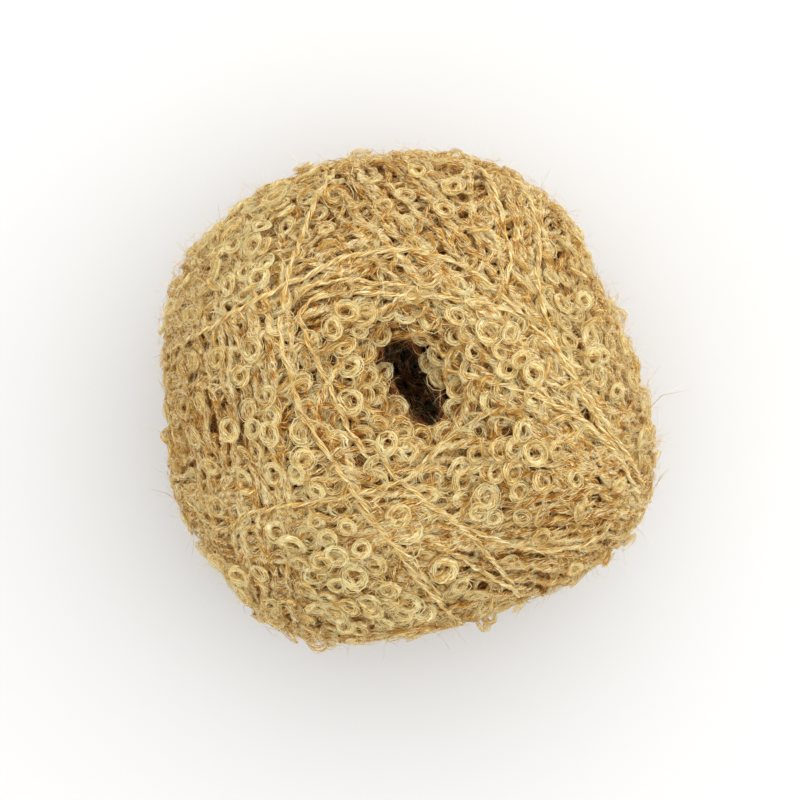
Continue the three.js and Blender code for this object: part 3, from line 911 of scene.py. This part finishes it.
def curls(strands, roots, outward, radius, sweep, reach, thick, shade):
    """Loose fibres that curl round on themselves as they go along."""
    count, stations = len(roots), 9
    ahead, beside = frames(outward)
    t = np.linspace(0, 1, stations)[None, :, None]
    angle = sweep[:, None, None] * t + rng.uniform(0, 6.3, (count, 1, 1))
    wide = radius[:, None, None]
    line = roots[:, None] + ahead[:, None] * (wide * np.cos(angle) + reach[:, None, None] * (t - 0.5))
    rise = 0.25 * np.sin(angle * 0.7) - 0.6 * (2 * t - 1) ** 4  # both ends dip in
    line = line + beside[:, None] * wide * np.sin(angle) + outward[:, None] * rise
    taper = thick[:, None] * np.array([0.3, 0.8, *[1.0] * 5, 0.8, 0.3])
    strands.add(tube_rings(line, taper, 3, False), shade, closed=False)


def all_over(count, lowest):
    """Directions all over the ball, but none into the hole's mouth."""
    aim = unit(rng.normal(size=(count, 3)) + [0, 0, 0.35])
    point = on_form(aim)
    return aim[(past_hole(*point.T[:2], TOP_MOUTH) > 0.92) & (aim[:, 2] > lowest)]


hair_wool = wool_material(
    "mohair hair", deep=(0.60, 0.30, 0.06), middle=(0.95, 0.74, 0.32), pale=(1.0, 0.93, 0.66),
    rough=0.45, through=0.5, relief=0.00003, along_scale=(0.5, 1.0, 1.0), open_weave=False,
)
STANDING_HAIRS = (  # tries, lowest, highest, above, lean outwards, length, curl, thick, shade, stations
    (900, -0.7, 1.1, 0.3, (0.1, 0.9), (2.5, 6), 0.45, (0.02, 0.035), (0.5, 1.0), 4),
    (1200, -0.6, 1.1, 0.3, (0.5, 1.6), (1.5, 3.5), 0.5, (0.018, 0.03), (0.5, 1.0), 3),
    (4600, -0.3, 0.55, 0.0, (0.3, 1.2), (1.2, 3.0), 0.6, (0.02, 0.035), (0.4, 1.0), 3),  # along the outline
)
HAZY_AREAS = ((-29, 24, 12, 700), (38, 6, 12, 500))  # x, y, spread, hairs
HOLE_HAIRS = (  # count, longest, thick, shade, curl, stations
    # painted shade: the short hairs on the wall are painted dark for the shade in the hole
    (420, 4, (0.012, 0.026), (-0.4, 0.4), 0.7, 4),
    (70, 9, (0.012, 0.020), (0.4, 1.1), 1.18, 8),
)
coils, pressed, fuzz = Strands(), Strands(), Strands()
at = all_over(1250, -0.8)
count = len(at)
above = rng.uniform(-0.8, 0.6, count)
# painted shade: curls that lie lower are painted darker, those higher paler
curls(coils, stack_place(at, above, 1.0), at, radius=rng.uniform(0.8, 2.3, count),
      sweep=rng.uniform(3, 7, count), reach=rng.uniform(0, 5, count),
      thick=rng.uniform(0.035, 0.07, count), shade=0.5 + 0.6 * above + rng.uniform(-0.15, 0.2, count))
coils.piece("curled_fibres", hair_wool)

# Short fibres lie along the strands: parts of loops that were pressed flat.
at = all_over(6600, -0.6)
at = at[(run[patch_of(at)] != 0).any(1)]
count = len(at)
way = run[patch_of(at)]
way = unit(way + np.cross(way, at) * rng.normal(0, 0.30, (count, 1)))
lengths = rng.uniform(1.4, 3.4, count)
roots = stack_place(at, rng.uniform(-0.35, 0.25, count)) - way * lengths[:, None] / 2
hairs(pressed, roots, way, lengths, curl=0.25, thick=rng.uniform(0.07, 0.16, count),
      shade=rng.uniform(0.0, 1.3, count), stations=3)
pressed.piece("pressed_loops", golden_fibres)

# Long hairs lie on the turns.
at = all_over(1800, -0.8)
count = len(at)
side_way, _ = frames(at)
above = rng.uniform(-0.5, 0.8, count)
# painted shade: hairs that lie lower are painted darker, those higher paler
hairs(fuzz, stack_place(at, above, 1.0), unit(side_way + at * 0.12), rng.uniform(3, 8, count), curl=0.35,
      thick=rng.uniform(0.03, 0.055, count), shade=0.5 + 0.45 * above + rng.uniform(-0.15, 0.2, count),
      stations=3)


def standing_hairs(at, above, lean, length, curl, thick, shade, stations):
    """Hairs that stand out at each direction, leaning any way."""
    count = len(at)
    side_way, _ = frames(at)
    hairs(fuzz, stack_place(at, above), unit(side_way + at * rng.uniform(*lean, (count, 1))),
          rng.uniform(*length, count), curl, rng.uniform(*thick, count), rng.uniform(*shade, count),
          stations)


for tries, lowest, highest, *looks in STANDING_HAIRS:
    at = all_over(tries, lowest)
    standing_hairs(at[at[:, 2] < highest], *looks)
for x, y, spread, many in HAZY_AREAS:
    at = unit(rng.normal(0, 1, (many, 3)) * spread / 1.4 + np.array([x, y, 18.0]))
    standing_hairs(at, 0.3, (0.1, 0.8), (2, 5), 0.7, (0.028, 0.045), (0.5, 1.1), 4)

# Others grow from the hole's wall across it.
for many, longest, thick, shades, curl, stations in HOLE_HAIRS:
    around = rng.uniform(0, math.tau, many)
    rim = np.stack([TOP_MOUTH[0] * np.cos(around), (TOP_MOUTH[1] - 0.6) * np.sin(around)], 1)
    rim = HOLE_CENTRE + rim @ HOLE_AXES
    roots = np.column_stack([rim, rng.uniform(10, 31, many)])
    inwards = HOLE_CENTRE - rim + rng.normal(0, 5, rim.shape)
    inwards = unit(np.column_stack([inwards, rng.uniform(-4, 4, many)]))
    hairs(fuzz, roots, inwards, rng.uniform(0.4, 1, many) * longest, curl,
          rng.uniform(*thick, many), rng.uniform(*shades, many), stations)
fuzz.piece("fine_hairs", hair_wool)


# The floor, the light and the camera. The ball lies on a plain white sheet under soft daylight from the
# upper right, seen from straight above.
paper = bpy.data.materials.new("white paper")
paper.use_nodes = True
node, _, link = in_tree(paper.node_tree)
finish = give(paper.node_tree.nodes["Principled BSDF"],
              {"Base Color": (0.63, 0.63, 0.63, 1), "Roughness": 0.8})
grain = give(node("TexNoise"), {"Scale": 900})
grain_bump = give(node("Bump"), {"Strength": 0.05, "Distance": 0.0001})
link(grain.outputs["Fac"], grain_bump.inputs["Height"])
link(grain_bump.outputs["Normal"], finish.inputs["Normal"])
bpy.ops.mesh.primitive_plane_add(size=3.0, location=(0, 0, 0))
floor = bpy.context.object
floor.name = "paper_floor"
floor.data.materials.append(paper)

world = bpy.data.worlds.new("room")
bpy.context.scene.world = world
world.use_nodes = True
give(world.node_tree.nodes["Background"], {"Color": (1.0, 1.0, 1.0, 1), "Strength": 1.215})
key = new_object("window", bpy.data.lights.new("window", "AREA"))
key.data.shape = "DISK"
key.data.size = 3.2
key.data.energy = 24.5
key.data.color = (1.0, 0.99, 0.97)
key.location = (0.45, 0.55, 1.05)
key.rotation_euler = (math.radians(-33), math.radians(25), 0)
bpy.context.scene.view_settings.view_transform = "Standard"

PHOTO_POINT = 0.19  # millimetres at the ball's widest level
CAMERA_UP = 600.0
camera = new_object("camera", bpy.data.cameras.new("camera"))
camera.location = ((-PHOTO_POINT - BOX_MIDDLE[0]) * MM, -BOX_MIDDLE[1] * MM, (WIDEST_AT + CAMERA_UP) * MM)
camera.data.sensor_width = 36
camera.data.lens = 36 * CAMERA_UP / (800 * PHOTO_POINT)
camera.data.clip_start = 0.01
bpy.context.scene.camera = camera
